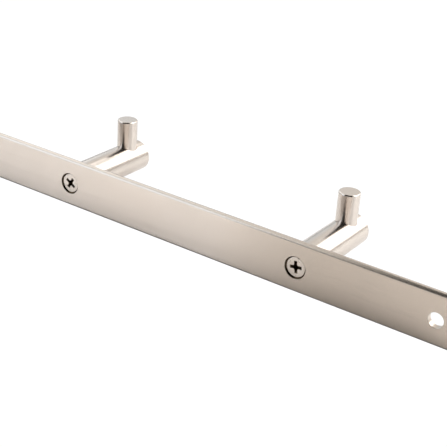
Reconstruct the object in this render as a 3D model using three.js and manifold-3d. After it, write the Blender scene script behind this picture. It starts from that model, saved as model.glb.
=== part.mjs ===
// A wall hook rack: a flat metal rail with a row of peg hooks. Each hook is a round peg that a
// countersunk screw holds to the rail from behind, and an upright pin pressed into the peg near
// its tip keeps a coat from sliding off.
//
// Millimetres, +Z up. X runs along the rail, the rail's back lies on the wall at Y = 0 and the
// pegs point into the room along -Y. The origin is the middle of the row of holes, on the
// rail's back.

import * as THREE from "three";
import { mergeVertices } from "three/addons/utils/BufferGeometryUtils.js";
import Module from "manifold-3d";

const wasm = await Module();
wasm.setup();

// ---------------------------------------------------------------- driving dimensions

// Rail: a flat bar on edge
const railHeight = 21.6;
const railThickness = 2.8;
const railRise = 0.35; // the rail's middle above the row of its holes
const railEdgeRadius = 1.3; // rounding of the edges along both faces
const railCornerRadius = 1.5; // rounding of the four corners, seen from the front

// Row of hooks
const hookCount = 5;
const hookPitch = 115;

// Plain holes near the rail's ends, for the screws that go into the wall
const wallHoleDiameter = 6.2;
const wallHoleFromHook = 58.5; // from the last hook to the hole
const wallHoleFromEnd = 11.5; // from the hole to the rail's end
const wallHoleChamfer = 0.15;

// Peg: the horizontal round bar
const pegDiameter = 14;
const pegLength = 43.7;
const pegTipChamfer = 0.6;
const pegFootChamfer = 0.3; // at the end that bears on the rail

// Pin: the upright round bar
const pinDiameter = 9;
const pinFromTip = 8; // from the peg's tip to the pin's axis
const pinStandout = 12.2; // above the top of the peg
const pinTopChamfer = 0.6;
const pinFootChamfer = 0.5;
const socketFloor = 3; // metal left in the peg below the pin's socket

// Screw: M4 countersunk, 90 degree head, cross recess
const screwDiameter = 4;
const screwLength = 12; // over all
const headDiameter = 8.2;
const headSink = 0.6; // depth of the head's face below the rail's back
const screwTipChamfer = 0.5;
const recessWidth = 5.2;
const recessFootWidth = 1.8;
const recessDepth = 2.2;
const recessWing = 1.2;
const recessCore = 3.2; // across the corners of the recess's square core
const screwTurns = [8, 58, 25, 70, 35]; // degrees, where each screw came to rest

// Clearances
const pinClearance = 0.3; // around the pin in its socket
const shankClearance = 0.3; // around the screw in the rail and in the peg
const headClearance = 0.55; // around the head in its bore and countersink
const drillSpare = 1.5; // tapped depth left beyond the screw's tip

// Facets round each circle
const pegFacets = 56;
const pinFacets = 48;
const screwFacets = 40;
const holeFacets = 48;
const roundingSteps = 4; // facets across a rounded edge

// ---------------------------------------------------------------- sizes that follow

const rowHalf = ((hookCount - 1) * hookPitch) / 2;
const wallHoleX = rowHalf + wallHoleFromHook;
const railLength = 2 * (wallHoleX + wallHoleFromEnd);
const pegRadius = pegDiameter / 2;
const pinFromRail = pegLength - pinFromTip;
const socketFloorZ = socketFloor - pegRadius;
const pinLength = pegRadius + pinStandout - socketFloorZ;
const shankHoleRadius = screwDiameter / 2 + shankClearance;
const headBoreRadius = headDiameter / 2 + headClearance;
const tappedDepth = headSink + screwLength - railThickness + drillSpare;
const overshoot = 1; // how far a cutter runs past the face it opens

// ---------------------------------------------------------------- materials

const satinNickel = { color: "#cdc2b6", roughness: 0.34, metalness: 1 };
const turnedNickel = { color: "#d3c9bd", roughness: 0.26, metalness: 1 };
const platedScrew = { color: "#d8cfc4", roughness: 0.3, metalness: 1 };

// ---------------------------------------------------------------- solids

// A closed three.js geometry as a manifold solid. Facets that a lathe leaves without area,
// where its profile meets the axis, are dropped.
function toSolid(geometry) {
  const bare = geometry.index ? geometry.toNonIndexed() : geometry.clone();
  bare.deleteAttribute("normal");
  bare.deleteAttribute("uv");
  const merged = mergeVertices(bare);
  const corners = [];
  for (let i = 0; i < merged.index.count; i += 3) {
    const [a, b, c] = merged.index.array.slice(i, i + 3);
    if (a !== b && b !== c && c !== a) corners.push(a, b, c);
  }
  return new wasm.Manifold(
    new wasm.Mesh({
      numProp: 3,
      vertProperties: new Float32Array(merged.attributes.position.array),
      triVerts: new Uint32Array(corners),
    }),
  );
}

// A manifold solid as a three.js geometry, with one flat normal to each facet.
function toGeometry(solid) {
  const { vertProperties, triVerts } = solid.getMesh();
  const geometry = new THREE.BufferGeometry();
  geometry.setAttribute("position", new THREE.BufferAttribute(vertProperties, 3));
  geometry.setIndex(new THREE.BufferAttribute(triVerts, 1));
  const faceted = geometry.toNonIndexed();
  faceted.computeVertexNormals();
  return faceted;
}

// A turned solid about the Y axis, from [radius, height] corners listed upwards.
function turned(profile, facets) {
  const corners = profile.map(([radius, height]) => new THREE.Vector2(radius, height));
  return new THREE.LatheGeometry(corners, facets);
}

// A turned solid or cutter that starts at the rail's back and runs into the room, along -Y.
const intoRoom = (geometry) => geometry.rotateX(Math.PI);

// A turned solid or cutter that stands upright, along +Z.
const upright = (geometry) => geometry.rotateX(Math.PI / 2);

// ---------------------------------------------------------------- rail

// The bar before it is drilled: its front outline, extruded with rounded edges.
function railBar() {
  const right = railLength / 2;
  const top = railHeight / 2;
  const r = railCornerRadius;
  const outline = new THREE.Shape();
  outline.moveTo(r - right, -top);
  outline.absarc(right - r, r - top, r, -Math.PI / 2, 0);
  outline.absarc(right - r, top - r, r, 0, Math.PI / 2);
  outline.absarc(r - right, top - r, r, Math.PI / 2, Math.PI);
  outline.absarc(r - right, r - top, r, Math.PI, 1.5 * Math.PI);
  const bar = new THREE.ExtrudeGeometry(outline, {
    depth: railThickness - 2 * railEdgeRadius,
    bevelThickness: railEdgeRadius,
    bevelSize: railEdgeRadius,
    bevelOffset: -railEdgeRadius,
    bevelSegments: roundingSteps,
    curveSegments: roundingSteps,
  });
  return bar.translate(0, railRise, railEdgeRadius).rotateX(Math.PI / 2);
}

// The drill for a wall screw: straight through, with both edges broken.
function wallHoleCutter() {
  const radius = wallHoleDiameter / 2;
  const flare = radius + wallHoleChamfer;
  return turned(
    [
      [0, -overshoot],
      [flare, -overshoot],
      [flare, 0],
      [radius, wallHoleChamfer],
      [radius, railThickness - wallHoleChamfer],
      [flare, railThickness],
      [flare, railThickness + overshoot],
      [0, railThickness + overshoot],
    ],
    holeFacets,
  );
}

// The drill for a peg's screw: a short bore for the sunk head in the back, a 90 degree
// countersink below it and a clearance hole.
function screwHoleCutter() {
  return turned(
    [
      [0, -overshoot],
      [headBoreRadius, -overshoot],
      [headBoreRadius, headSink],
      [shankHoleRadius, headSink + headBoreRadius - shankHoleRadius],
      [shankHoleRadius, railThickness + overshoot],
      [0, railThickness + overshoot],
    ],
    holeFacets,
  );
}

function railGeometry(hookPlaces) {
  let solid = toSolid(railBar());
  for (const x of hookPlaces) {
    solid = solid.subtract(toSolid(intoRoom(screwHoleCutter()).translate(x, 0, 0)));
  }
  for (const x of [-wallHoleX, wallHoleX]) {
    solid = solid.subtract(toSolid(intoRoom(wallHoleCutter()).translate(x, 0, 0)));
  }
  return toGeometry(solid);
}

// ---------------------------------------------------------------- hook

// The peg, with its foot at the origin: a turned bar with a tapped hole in its foot and a
// blind socket for the pin in its upper side.
function pegGeometry() {
  const bar = turned(
    [
      [0, 0],
      [pegRadius - pegFootChamfer, 0],
      [pegRadius, pegFootChamfer],
      [pegRadius, pegLength - pegTipChamfer],
      [pegRadius - pegTipChamfer, pegLength],
      [0, pegLength],
    ],
    pegFacets,
  );
  const tappedHole = turned(
    [
      [0, -overshoot],
      [shankHoleRadius, -overshoot],
      [shankHoleRadius, tappedDepth],
      [0, tappedDepth + shankHoleRadius],
    ],
    screwFacets,
  );
  const socketRadius = pinDiameter / 2 + pinClearance;
  const socketTop = pegRadius + overshoot;
  const socket = turned(
    [
      [0, socketFloorZ],
      [socketRadius, socketFloorZ],
      [socketRadius, socketTop],
      [0, socketTop],
    ],
    pinFacets,
  );
  const solid = toSolid(intoRoom(bar))
    .subtract(toSolid(intoRoom(tappedHole)))
    .subtract(toSolid(upright(socket).translate(0, -pinFromRail, 0)));
  return toGeometry(solid);
}

// The pin, with its foot at the origin.
function pinGeometry() {
  const radius = pinDiameter / 2;
  return upright(
    turned(
      [
        [0, 0],
        [radius - pinFootChamfer, 0],
        [radius, pinFootChamfer],
        [radius, pinLength - pinTopChamfer],
        [radius - pinTopChamfer, pinLength],
        [0, pinLength],
      ],
      pinFacets,
    ),
  );
}

// ---------------------------------------------------------------- screw

// One pair of opposite wings of the cross recess: a plate that narrows with depth.
function recessBlade() {
  const outline = new THREE.Shape();
  outline.moveTo(-recessWidth / 2, -overshoot);
  outline.lineTo(recessWidth / 2, -overshoot);
  outline.lineTo(recessWidth / 2, 0);
  outline.lineTo(recessFootWidth / 2, recessDepth);
  outline.lineTo(-recessFootWidth / 2, recessDepth);
  outline.lineTo(-recessWidth / 2, 0);
  outline.closePath();
  const blade = new THREE.ExtrudeGeometry(outline, {
    depth: recessWing,
    bevelEnabled: false,
  });
  return blade.translate(0, 0, -recessWing / 2);
}

// The screw, with the middle of its head's face at the origin. The threads are left out:
// the shank has their outer diameter.
function screwGeometry() {
  const headRadius = headDiameter / 2;
  const shankRadius = screwDiameter / 2;
  const body = turned(
    [
      [0, 0],
      [headRadius, 0],
      [shankRadius, headRadius - shankRadius],
      [shankRadius, screwLength - screwTipChamfer],
      [shankRadius - screwTipChamfer, screwLength],
      [0, screwLength],
    ],
    screwFacets,
  );
  const core = turned(
    [
      [0, -overshoot],
      [recessCore / 2, -overshoot],
      [recessCore / 2, 0],
      [recessFootWidth / 2, recessDepth],
      [0, recessDepth],
    ],
    4,
  );
  const solid = toSolid(intoRoom(body))
    .subtract(toSolid(intoRoom(recessBlade())))
    .subtract(toSolid(intoRoom(recessBlade().rotateY(Math.PI / 2))))
    .subtract(toSolid(intoRoom(core)));
  return toGeometry(solid);
}

// ---------------------------------------------------------------- assembly

function piece(name, geometry, finish) {
  const mesh = new THREE.Mesh(geometry, new THREE.MeshStandardMaterial(finish));
  mesh.name = name;
  return mesh;
}

// One hook with its foot at the origin, on the rail's front face.
function hook(number) {
  const group = new THREE.Group();
  const peg = piece(`peg_${number}`, pegGeometry(), turnedNickel);
  const pin = piece(`pin_${number}`, pinGeometry(), turnedNickel);
  pin.position.set(0, -pinFromRail, socketFloorZ);
  const screw = piece(`screw_${number}`, screwGeometry(), platedScrew);
  screw.position.y = railThickness - headSink;
  screw.rotation.y = THREE.MathUtils.degToRad(screwTurns[(number - 1) % screwTurns.length]);
  group.add(peg, pin, screw);
  return group;
}

const hookPlaces = Array.from({ length: hookCount }, (_, i) => i * hookPitch - rowHalf);

const rack = new THREE.Group();
rack.add(piece("rail", railGeometry(hookPlaces), satinNickel));
hookPlaces.forEach((x, i) => {
  const placed = hook(i + 1);
  placed.position.set(x, -railThickness, 0);
  rack.add(placed);
});

export default rack;
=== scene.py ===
# A wall hook rack in satin nickel: a flat rail with five peg hooks, each a round peg that a
# countersunk screw holds from behind, with an upright pin pressed in near its tip.
#
# Metres, +Z up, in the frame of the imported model: X runs along the rail, the rail's back lies on
# the wall at Y = 0 and the pegs point into the room along -Y.

import math

import bmesh
import bpy
from mathutils import Matrix, Quaternion, Vector


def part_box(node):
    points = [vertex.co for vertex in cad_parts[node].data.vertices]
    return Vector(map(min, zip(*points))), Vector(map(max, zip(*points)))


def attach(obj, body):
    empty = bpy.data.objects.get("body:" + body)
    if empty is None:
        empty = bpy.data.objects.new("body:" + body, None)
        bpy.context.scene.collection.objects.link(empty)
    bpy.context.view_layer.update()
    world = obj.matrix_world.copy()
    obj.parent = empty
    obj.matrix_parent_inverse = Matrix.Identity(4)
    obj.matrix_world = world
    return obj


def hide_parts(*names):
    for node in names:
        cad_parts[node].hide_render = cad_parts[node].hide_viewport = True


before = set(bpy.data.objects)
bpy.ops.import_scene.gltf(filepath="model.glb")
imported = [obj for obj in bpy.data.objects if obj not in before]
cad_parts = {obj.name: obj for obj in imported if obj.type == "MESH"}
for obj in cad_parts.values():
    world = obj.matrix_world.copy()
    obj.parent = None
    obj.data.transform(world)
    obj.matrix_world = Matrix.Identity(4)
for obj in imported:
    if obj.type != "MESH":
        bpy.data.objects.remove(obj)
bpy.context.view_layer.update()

# ---------------------------------------------------------------- rail
# A flat steel bar on edge, cut to length, linished along its length and plated with satin
# nickel. Five countersunk holes take the screws of the pegs; a plain hole near each end takes
# the screw that goes into the wall.

rail_low, rail_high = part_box("rail")
rail_height = rail_high.z - rail_low.z
rail_back = rail_high.y
rail_front = rail_low.y
edge_radius = 0.0013
corner_radius = 0.0015
edge_steps = 6
hook_places = [sum(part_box(f"peg_{n}"), Vector()).x / 2 for n in range(1, 6)]
hook_pitch = hook_places[1] - hook_places[0]
wall_hole_radius = 0.0031
wall_hole_from_end = 0.0115
head_bore_radius = 0.00465
head_bore_depth = 0.0006
shank_hole_radius = 0.0023
rim_radius = 0.00015
rim_steps = 4
bore_mouth = 0.00005
ring_facets = 96


def start_piece(name):
    """Names the primitive that was just added and opens it in edit mode, all selected."""
    piece = bpy.context.object
    piece.name = piece.data.name = name
    bpy.ops.object.transform_apply(location=True, rotation=True, scale=True)
    bpy.ops.object.mode_set(mode="EDIT")
    bpy.ops.mesh.select_mode(type="EDGE")
    bpy.ops.mesh.select_all(action="SELECT")
    return piece


def pick_edges(piece, wanted):
    """Selects the edges of the open piece for whose two ends wanted(end, end) is true."""
    mesh = bmesh.from_edit_mesh(piece.data)
    bpy.ops.mesh.select_all(action="DESELECT")
    for edge in mesh.edges:
        edge.select_set(bool(wanted(*(corner.co for corner in edge.verts))))
    bmesh.update_edit_mesh(piece.data)


def use_modifier(piece, kind, **settings):
    """Adds a modifier to the piece and applies it."""
    bpy.ops.object.select_all(action="DESELECT")
    bpy.context.view_layer.objects.active = piece
    piece.select_set(True)
    modifier = piece.modifiers.new(kind.lower(), kind)
    for setting, value in settings.items():
        setattr(modifier, setting, value)
    bpy.ops.object.modifier_apply(modifier=modifier.name)


def cut(piece, cutter):
    """Cuts a solid out of the piece and takes the solid away."""
    use_modifier(piece, "BOOLEAN", operation="DIFFERENCE", solver="EXACT", object=cutter)
    bpy.data.objects.remove(cutter)


def turn_on_lathe(name, start, axis, stations):
    """A solid of revolution: a disc drawn out along the axis by (distance, radius) stations."""
    bpy.ops.object.select_all(action="DESELECT")
    along = Vector(axis)
    place = Vector(start) + along * stations[0][0]
    facing = along.to_track_quat("Z", "Y").to_euler()
    bpy.ops.mesh.primitive_circle_add(
        vertices=ring_facets,
        radius=stations[0][1],
        fill_type="NGON",
        location=place,
        rotation=facing,
    )
    piece = start_piece(name)
    for (distance, radius), (further, next_radius) in zip(stations, stations[1:]):
        bpy.ops.mesh.extrude_region_move(
            TRANSFORM_OT_translate={"value": along * (further - distance)}
        )
        place = Vector(start) + along * further
        bpy.ops.transform.resize(value=[next_radius / radius] * 3, center_override=place)
    bpy.ops.mesh.select_all(action="SELECT")
    bpy.ops.mesh.normals_make_consistent(inside=False)
    bpy.ops.object.mode_set(mode="OBJECT")
    return piece


def smooth(piece):
    """Smooth shading over rounded stretches, with the flat faces kept flat."""
    sharpest_round = math.radians(32)
    bpy.ops.object.select_all(action="DESELECT")
    bpy.context.view_layer.objects.active = piece
    piece.select_set(True)
    bpy.ops.object.shade_smooth_by_angle(angle=sharpest_round)
    use_modifier(piece, "WEIGHTED_NORMAL", keep_sharp=True, weight=80)


def seat(piece, node, material):
    """The piece rides with the rack, stands for its CAD node and gets its finish."""
    piece.data.materials.clear()
    piece.data.materials.append(material)
    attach(piece, "root")
    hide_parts(node)


class Wire:
    """A socket of a shader. Arithmetic adds Math nodes, and node() adds any other node."""

    def __init__(self, tree, socket=None):
        self.tree = tree
        self.socket = socket

    def node(self, kind, settings=None, sockets=None, out=0):
        made = self.tree.nodes.new("ShaderNode" + kind)
        for name, value in (settings or {}).items():
            setattr(made, name, value)
        for name, value in (sockets or {}).items():
            if isinstance(value, Wire):
                self.tree.links.new(value.socket, made.inputs[name])
            else:
                made.inputs[name].default_value = value
        return Wire(self.tree, made.outputs[out])

    def math(self, operation, *values):
        return self.node("Math", {"operation": operation}, dict(enumerate(values)))

    def __add__(self, other):
        return self.math("ADD", self, other)

    def __sub__(self, other):
        return self.math("SUBTRACT", self, other)

    def __rsub__(self, other):
        return self.math("SUBTRACT", other, self)

    def __mul__(self, other):
        return self.math("MULTIPLY", self, other)

    __radd__ = __add__
    __rmul__ = __mul__

    def vector(self, operation, *values):
        """Vector maths, on vectors or on a vector and a plain value."""
        return self.node("VectorMath", {"operation": operation}, dict(enumerate(values)))

    def part(self, axis):
        """The X, Y or Z of a vector."""
        return self.node("SeparateXYZ", None, {0: self}, out="XYZ".index(axis))

    def between(self, low, high):
        """0 below the low value, 1 above the high one, and a soft step from one to the other."""
        return self.node(
            "MapRange",
            {"interpolation_type": "SMOOTHSTEP"},
            {"Value": self, "From Min": low, "From Max": high},
        )

    def noise(self, scale, detail):
        """Grain at a scale for each axis, in cycles per metre."""
        stretched = self.node("Mapping", None, {"Vector": self, "Scale": scale})
        return self.node("TexNoise", None, {"Vector": stretched, "Scale": 1.0, "Detail": detail})

    def blend(self, first, second):
        """The first colour where this mask is 0 and the second where it is 1."""
        return self.node(
            "Mix", {"data_type": "RGBA"}, {0: self, 6: first, 7: second}, out=2
        )


def new_material(name):
    """A bare material: its object coordinates as a wire, and a call that fills in its shader."""
    material = bpy.data.materials.new(name)
    material.use_nodes = True
    tree = material.node_tree
    shader = tree.nodes["Principled BSDF"]

    def fill(**sockets):
        for label, value in sockets.items():
            socket = shader.inputs[label.replace("_", " ")]
            if isinstance(value, Wire):
                tree.links.new(value.socket, socket)
            else:
                socket.default_value = value

    coordinates = Wire(tree).node("TexCoord", out="Object")
    return material, coordinates, fill


nickel_worn = (0.8, 0.69, 0.598, 1)
nickel_dull = (0.765, 0.66, 0.571, 1)
nickel_edge = (0.58, 0.52, 0.465, 1)
turned_worn = (0.665, 0.612, 0.572, 1)
turned_dull = (0.63, 0.58, 0.542, 1)
# Painted shade: a dark colour for the screw bores and the screws' cross recesses, standing in for
# the shadow in those hollows.
painted_recess_shade = (0.15, 0.108, 0.07, 1)


def from_hook_axis(place):
    """Distance from the axis of the nearest hook's screw."""
    along = place.part("X") + len(hook_places) / 2 * hook_pitch
    along = along.math("MODULO", along, hook_pitch) - hook_pitch / 2
    up = place.part("Z")
    return along.math("SQRT", along * along + up * up)


def tipped(normal, slope):
    """The normal, tipped by a slope across grooves that run along X."""
    across = normal.vector("CROSS_PRODUCT", (1, 0, 0), normal)
    return normal.vector("MULTIPLY_ADD", across, slope, normal)


def make_rail_nickel():
    """Brushed along X: each groove tips the surface a little across its length.

    Few grooves on the back tip it far and most tip it little. The rounded edges are a duller
    nickel, and the room side has the pegs' nickel with calmer grooves.
    """
    material, place, fill = new_material("rail_satin_nickel")
    grooves = place.noise((7, 400000, 400000), 1)
    strokes = place.noise((5, 2600, 2600), 1)
    clouds = place.noise((18, 40, 40), 2)
    normal = place.node("NewGeometry", out="Normal")
    room_side = (0 - normal.part("Y")).between(0.4, 0.9)
    upright = normal.part("Y").math("ABSOLUTE", normal.part("Y"))
    flat = upright.between(0.95, 0.999) * (1 - room_side)
    tip = grooves - 0.5
    reach = tip * tip * flat * 60 + 0.5 * flat + 1.2 - 0.9 * room_side
    slope = tip * reach + (strokes - 0.5) * 0.18
    tone = strokes.between(0.3, 0.7) * 0.1 + clouds.between(0.2, 0.8) * 0.9
    back_nickel = upright.between(0.985, 0.9998).blend(
        nickel_edge, tone.blend(nickel_dull, nickel_worn)
    )
    room_nickel = tone.blend(turned_dull, turned_worn)
    # Inside each screw bore the countersink wall gets the painted shade colour, standing in for
    # the shadow in the gap round the screw head.
    open_face = from_hook_axis(place).between(
        head_bore_radius - 0.00002, head_bore_radius + 0.00003
    )
    fill(
        Base_Color=open_face.blend(painted_recess_shade, room_side.blend(back_nickel, room_nickel)),
        Metallic=1.0,
        Roughness=0.135 + 0.01 * clouds + 0.2 * room_side,
        Anisotropic=1.0,
        Anisotropic_Rotation=0.25,
        Normal=tipped(normal, slope),
    )
    return material


bpy.ops.object.select_all(action="DESELECT")
bpy.ops.mesh.primitive_cube_add(
    size=1, location=(rail_low + rail_high) / 2, scale=rail_high - rail_low
)
rail = start_piece("linished_rail")
pick_edges(rail, lambda a, b: abs(a.y - b.y) > abs(a.x - b.x) + abs(a.z - b.z))
bpy.ops.mesh.bevel(offset=corner_radius, segments=edge_steps)
pick_edges(rail, lambda a, b: abs(a.y - b.y) < 1e-6)
bpy.ops.mesh.bevel(offset=edge_radius, segments=edge_steps)
bpy.ops.object.mode_set(mode="OBJECT")

into_room = Vector((0, -1, 0))
overshoot = 0.001
rail_thickness = rail_back - rail_front


def wall_drill(x):
    """The tool for a plain wall hole, which rounds its rim on both faces."""
    turns = [math.radians(90 * k / rim_steps) for k in range(rim_steps + 1)]
    entry = [
        (rim_radius * (1 - math.cos(t)), wall_hole_radius + rim_radius * (1 - math.sin(t)))
        for t in turns
    ]
    leave = [(rail_thickness - distance, radius) for distance, radius in reversed(entry)]
    outer = wall_hole_radius + rim_radius
    stations = [(-overshoot, outer), *entry, *leave, (rail_thickness + overshoot, outer)]
    return turn_on_lathe("drill", (x, rail_back, 0), into_room, stations)


def screw_drill(x):
    """The tool for a screw hole: a short straight bore, a countersink and the shank's hole."""
    stations = [
        (-overshoot, head_bore_radius + bore_mouth),
        (0, head_bore_radius + bore_mouth),
        (bore_mouth, head_bore_radius),
        (head_bore_depth, head_bore_radius),
        (head_bore_depth + head_bore_radius - shank_hole_radius, shank_hole_radius),
        (rail_thickness + overshoot, shank_hole_radius),
    ]
    return turn_on_lathe("drill", (x, rail_back, 0), into_room, stations)


for end in (-1, 1):
    cut(rail, wall_drill(end * (rail_high.x - wall_hole_from_end)))
for x in hook_places:
    cut(rail, screw_drill(x))
smooth(rail)
seat(rail, "rail", make_rail_nickel())

# ---------------------------------------------------------------- pegs
# A round steel bar, turned to length and ground, with a blind socket for its pin near the tip and
# a tapped hole in its foot, plated with satin nickel. Its screw clamps its foot to the rail.

peg_low, peg_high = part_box("peg_1")
peg_radius = (peg_high.z - peg_low.z) / 2
peg_length = peg_high.y - peg_low.y
peg_tip_rounding = 0.0006
peg_foot_rounding = 0.0003
pin_low, pin_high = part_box("pin_1")
pin_radius = (pin_high.x - pin_low.x) / 2
pin_axis_y = (pin_low.y + pin_high.y) / 2
socket_gap = 0.00006
socket_foot_gap = 0.0001
socket_drill_length = 0.02
tapped_radius = 0.00205
tapped_depth = 0.0113


def make_turned_nickel(name, scale):
    """Turned and ground: fine rings round the bar, at a scale for each axis."""
    material, place, fill = new_material(name)
    lines = place.noise(scale, 2)
    clouds = place.noise((60, 60, 60), 2)
    tone = lines.between(0.3, 0.7) * 0.3 + clouds.between(0.3, 0.7) * 0.7
    fill(
        Base_Color=tone.blend(turned_dull, turned_worn),
        Metallic=1.0,
        Roughness=0.17 + 0.05 * lines + 0.03 * clouds,
        Normal=place.node(
            "Bump", None, {"Strength": 0.1, "Distance": 0.00001, "Height": lines}
        ),
    )
    return material


def rounded(distance, radius, rounding, outwards, steps=5):
    """Stations over a rounded edge, from an end face to the wall or, outwards False, back."""
    turns = [math.radians(90 * k / steps) for k in range(steps + 1)]
    if outwards:
        return [
            (distance + rounding * (1 - math.cos(t)), radius - rounding * (1 - math.sin(t)))
            for t in turns
        ]
    return [
        (distance - rounding * (1 - math.cos(t)), radius - rounding * (1 - math.sin(t)))
        for t in reversed(turns)
    ]


first_x = hook_places[0]
peg = turn_on_lathe(
    "turned_peg_1",
    (first_x, peg_high.y, 0),
    into_room,
    [
        *rounded(0, peg_radius, peg_foot_rounding, True),
        *rounded(peg_length, peg_radius, peg_tip_rounding, False),
    ],
)
cut(
    peg,
    turn_on_lathe(
        "drill",
        (first_x, pin_axis_y, pin_low.z - socket_foot_gap),
        (0, 0, 1),
        [(0, pin_radius + socket_gap), (socket_drill_length, pin_radius + socket_gap)],
    ),
)
cut(
    peg,
    turn_on_lathe(
        "drill",
        (first_x, peg_high.y, 0),
        into_room,
        [(-overshoot, tapped_radius), (tapped_depth, tapped_radius)],
    ),
)
smooth(peg)


def row_of(first):
    """The first hook's piece and a copy for each other hook, moved along in a mesh of its own."""
    row = [first]
    for number in range(2, len(hook_places) + 1):
        twin = first.copy()
        twin.data = first.data.copy()
        twin.name = twin.data.name = first.name.replace("_1", f"_{number}")
        bpy.context.collection.objects.link(twin)
        twin.data.transform(Matrix.Translation((hook_pitch * (number - 1), 0, 0)))
        row.append(twin)
    return row


peg_nickel = make_turned_nickel("peg_satin_nickel", (90, 7000, 90))
for number, piece in enumerate(row_of(peg), 1):
    seat(piece, f"peg_{number}", peg_nickel)

# ---------------------------------------------------------------- pins
# A shorter round bar with its top edge broken, pressed upright into the peg's socket. It keeps a
# coat from sliding off the peg. Same steel and plating as the peg.

pin_length = pin_high.z - pin_low.z
pin_top_rounding = 0.0006
pin_foot_rounding = 0.0005
pin = turn_on_lathe(
    "pressed_pin_1",
    (first_x, pin_axis_y, pin_low.z),
    (0, 0, 1),
    [
        *rounded(0, pin_radius, pin_foot_rounding, True),
        *rounded(pin_length, pin_radius, pin_top_rounding, False),
    ],
)
smooth(pin)
pin_nickel = make_turned_nickel("pin_satin_nickel", (90, 90, 7000))
for number, piece in enumerate(row_of(pin), 1):
    seat(piece, f"pin_{number}", pin_nickel)

# ---------------------------------------------------------------- screws
# A countersunk machine screw with a cross recess, cold headed and plated. It is driven from the
# rail's back into the peg, and its head sits just below the rail's face.

screw_low, screw_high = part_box("screw_1")
head_radius = 0.0041
head_face = screw_high.y
screw_length = screw_high.y - screw_low.y
screw_radius = 0.002
screw_point_break = 0.0005
head_rim_depth = 0.00012
screw_turns = (8, 58, 25, 70, 35)
recess_width = 0.0052
recess_foot = 0.0018
recess_depth = 0.0022
recess_core = 0.0032
recess_wing = 0.0012
recess_mouth = 0.00018
wing_taper = 0.7
blade_overshoot = 0.00001
head_worn = (0.9, 0.79, 0.7, 1)
head_dull = (0.84, 0.74, 0.65, 1)

screw = turn_on_lathe(
    "cross_screw_1",
    (first_x, head_face, 0),
    into_room,
    [
        (0, head_radius - 0.00018),
        (0.00004, head_radius - 0.00008),
        (head_rim_depth, head_radius),
        (head_rim_depth + head_radius - screw_radius, screw_radius),
        (screw_length - screw_point_break, screw_radius),
        (screw_length, screw_radius - screw_point_break),
    ],
)


def turn_about(x, degrees):
    """A turn about the axis of the screw at x."""
    centre = Matrix.Translation((x, 0, 0))
    return centre @ Matrix.Rotation(math.radians(degrees), 4, "Y") @ centre.inverted()


def recess_blade(width, wing, turn):
    """A plate that narrows with depth, for one pair of wings or the square core of a recess."""
    bpy.ops.object.select_all(action="DESELECT")
    middle = head_face - recess_depth / 2
    bpy.ops.mesh.primitive_cube_add(
        size=1, location=(first_x, middle, 0), scale=(width, recess_depth, wing)
    )
    blade = start_piece("blade")
    pick_edges(blade, lambda a, b: max(a.y, b.y) < middle)
    bpy.ops.transform.resize(
        value=(recess_foot / width, 1, recess_foot / width if wing == width else wing_taper),
        center_override=(first_x, middle, 0),
    )
    bpy.ops.object.mode_set(mode="OBJECT")
    blade.data.transform(turn_about(first_x, turn))
    blade.data.transform(Matrix.Translation((0, blade_overshoot, 0)))
    return blade


core_side = recess_core / math.sqrt(2)
cut(screw, recess_blade(core_side, core_side, 45))
cut(screw, recess_blade(recess_width, recess_wing, 0))
cut(screw, recess_blade(recess_width, recess_wing, 90))


def borders_recess(a, b):
    """Whether an edge lies on the head's face and borders the recess."""
    on_face = min(a.y, b.y) > head_face - 1e-6
    furthest = max(math.hypot(end.x - first_x, end.z) for end in (a, b))
    return on_face and furthest < recess_width * 0.52


bpy.ops.object.mode_set(mode="EDIT")
pick_edges(screw, borders_recess)
bpy.ops.mesh.bevel(offset=recess_mouth, segments=2)
bpy.ops.object.mode_set(mode="OBJECT")
smooth(screw)


def make_screw_plating():
    """Bright plating, brushed along X, with painted shade inside the recess."""
    material, place, fill = new_material("screw_plating")
    lines = place.noise((7, 50000, 50000), 1)
    clouds = place.noise((300, 300, 300), 2)
    normal = place.node("NewGeometry", out="Normal")
    tip = lines - 0.5
    slope = tip * (tip * tip * 60 + 1.2)
    depth = head_face - place.part("Y")
    below_face = depth.between(0.00002, 0.0001)
    below_recess = depth.between(recess_depth, recess_depth + 0.0001)
    beyond_recess = from_hook_axis(place).between(
        recess_width / 2 + recess_mouth, head_radius - 0.0003
    )
    # The cross recess is coloured with painted shade, standing in for the shadow in its hollow.
    inside = below_face * (1 - below_recess) * (1 - beyond_recess)
    fill(
        Base_Color=inside.blend(clouds.between(0.3, 0.7).blend(head_dull, head_worn), painted_recess_shade),
        Metallic=1.0,
        Roughness=0.26 + 0.04 * clouds,
        Normal=tipped(normal, slope),
    )
    return material


screw_plating = make_screw_plating()
for number, (piece, x, turn) in enumerate(zip(row_of(screw), hook_places, screw_turns), 1):
    piece.data.transform(turn_about(x, turn))
    seat(piece, f"screw_{number}", screw_plating)

# ---------------------------------------------------------------- studio
# The rack stands on the lower edge of its rail on a satin white table, seen from behind and above.
# Six warm softboxes stand on its room side and over it, and a cool panel behind it. The metal also
# reflects a dim side and a thin dark strip. The table and the air look white to the camera.

camera_data = bpy.data.cameras.new("camera")
camera = bpy.data.objects.new("camera", camera_data)
bpy.context.collection.objects.link(camera)
bpy.context.scene.camera = camera
camera_place = Vector((-0.40455, 0.31526, 0.19075))
camera_aim = Vector((-0.19617, 0.0, 0.00757))
camera_roll = 3.94
camera_data.lens = 86.125
camera_data.sensor_width = 36
camera_data.clip_start = 0.01
camera.location = camera_place
camera.rotation_mode = "QUATERNION"
camera.rotation_quaternion = (camera_aim - camera_place).to_track_quat("-Z", "Y") @ Quaternion(
    (0, 0, 1), math.radians(camera_roll)
)

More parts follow.
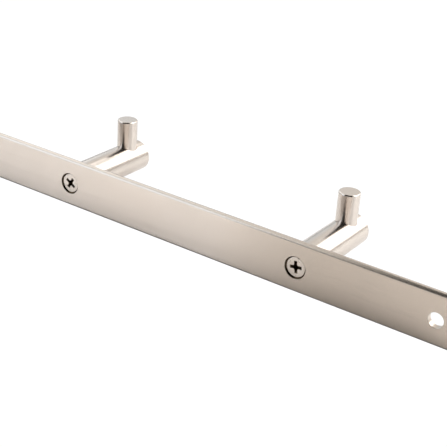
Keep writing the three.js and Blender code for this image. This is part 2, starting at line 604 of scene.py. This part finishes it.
bpy.ops.object.select_all(action="DESELECT")
table_gap = 0.0001
bpy.ops.mesh.primitive_plane_add(size=12, location=(0, 0, rail_low.z - table_gap))
floor = bpy.context.object
floor.name = "white_table"
table_white = bpy.data.materials.new("table_white")
table_white.use_nodes = True
wires = Wire(table_white.node_tree)
seen = wires.node("LightPath", out="Is Camera Ray")
satin = wires.node(
    "BsdfPrincipled", None, {"Base Color": (0.86, 0.86, 0.86, 1), "Roughness": 0.25}
)
glow = wires.node("Emission", None, {"Color": (1, 1, 1, 1), "Strength": 1.05})
shown = wires.node("MixShader", None, {0: seen, 1: satin, 2: glow})
table_white.node_tree.links.new(
    shown.socket, table_white.node_tree.nodes["Material Output"].inputs["Surface"]
)
floor.data.materials.append(table_white)


def towards(azimuth, elevation):
    """A direction; azimuth is counted from +X towards +Y, in degrees."""
    a, e = math.radians(azimuth), math.radians(elevation)
    return Vector((math.cos(a) * math.cos(e), math.sin(a) * math.cos(e), math.sin(e)))


studio_middle = Vector((-0.17, 0, 0))
light_distance = 2.4


def soft_light(name, azimuth, elevation, width, height, radiance, tint):
    """A softbox that faces the rack; its width and height are angles seen from the rack."""
    data = bpy.data.lights.new(name, "AREA")
    data.shape = "RECTANGLE"
    data.size = 2 * light_distance * math.tan(math.radians(width / 2))
    data.size_y = 2 * light_distance * math.tan(math.radians(height / 2))
    data.energy = radiance * math.pi * data.size * data.size_y
    data.color = tint
    light = bpy.data.objects.new(name, data)
    bpy.context.collection.objects.link(light)
    direction = towards(azimuth, elevation)
    light.location = studio_middle + direction * light_distance
    light.rotation_mode = "QUATERNION"
    light.rotation_quaternion = direction.to_track_quat("Z", "Y")
    light.visible_camera = False


warm_white = (1.03, 1.0, 0.96)
cool_white = (0.89, 1.0, 1.16)
soft_light("back_softbox", -150, 38, 38, 40, 3.4, warm_white)
soft_light("middle_softbox", -114, 25, 31, 38, 2.0, warm_white)
soft_light("far_softbox", -70, 28, 54, 36, 0.3, warm_white)
soft_light("front_softbox", -25, 35, 40, 40, 0.9, warm_white)
soft_light("top_softbox", -115, 62, 60, 30, 0.9, warm_white)
soft_light("near_softbox", -172, 40, 30, 50, 2.0, warm_white)
soft_light("side_panel", 48.8, 17, 24.7, 34, 1.07, cool_white)

world = bpy.data.worlds.new("studio")
bpy.context.scene.world = world
world.use_nodes = True
air = Wire(world.node_tree).node("TexCoord", out="Generated")


def facing(direction):
    """How far a ray into the studio goes along a direction."""
    return air.node(
        "VectorMath",
        {"operation": "DOT_PRODUCT"},
        {0: air, 1: direction},
        out="Value",
    )


along = air.part("X")
upwards = facing(towards(0, 90))
behind = facing(towards(90, 30)).between(0.0, 0.1)
dim_side = (1 - along.between(0.372, 0.387)) * behind
dark_strip = facing(towards(151.7, 0)).between(-0.012, 0.012)
dark_strip = dark_strip * facing(towards(90, 0)).between(0.0, 0.05)
dark_strip = dark_strip * (1 - upwards.between(0.3, 0.5))
dim_side = dim_side.math("MAXIMUM", dim_side, dark_strip)
fill_side = facing(towards(25, 45)).between(0.8, 0.95)
overhead = (0.35 - 0.22 * along.between(0.45, 0.55)) * upwards.between(0.35, 0.5)
beside = along.between(0.36, 0.39) * behind * (0.1 + overhead)
level = (0.58 + 0.2 * fill_side + beside) * (1 - 0.97 * dim_side)
seen = air.node("LightPath", out="Is Camera Ray")
background = world.node_tree.nodes["Background"]
tint = along.between(0.36, 0.55).blend((1.05, 1.0, 0.92, 1), (0.96, 1.0, 1.02, 1))
world.node_tree.links.new(tint.socket, background.inputs["Color"])
strength = level + seen * (1.3 - level)
world.node_tree.links.new(strength.socket, background.inputs["Strength"])

bpy.context.scene.view_settings.view_transform = "Standard"
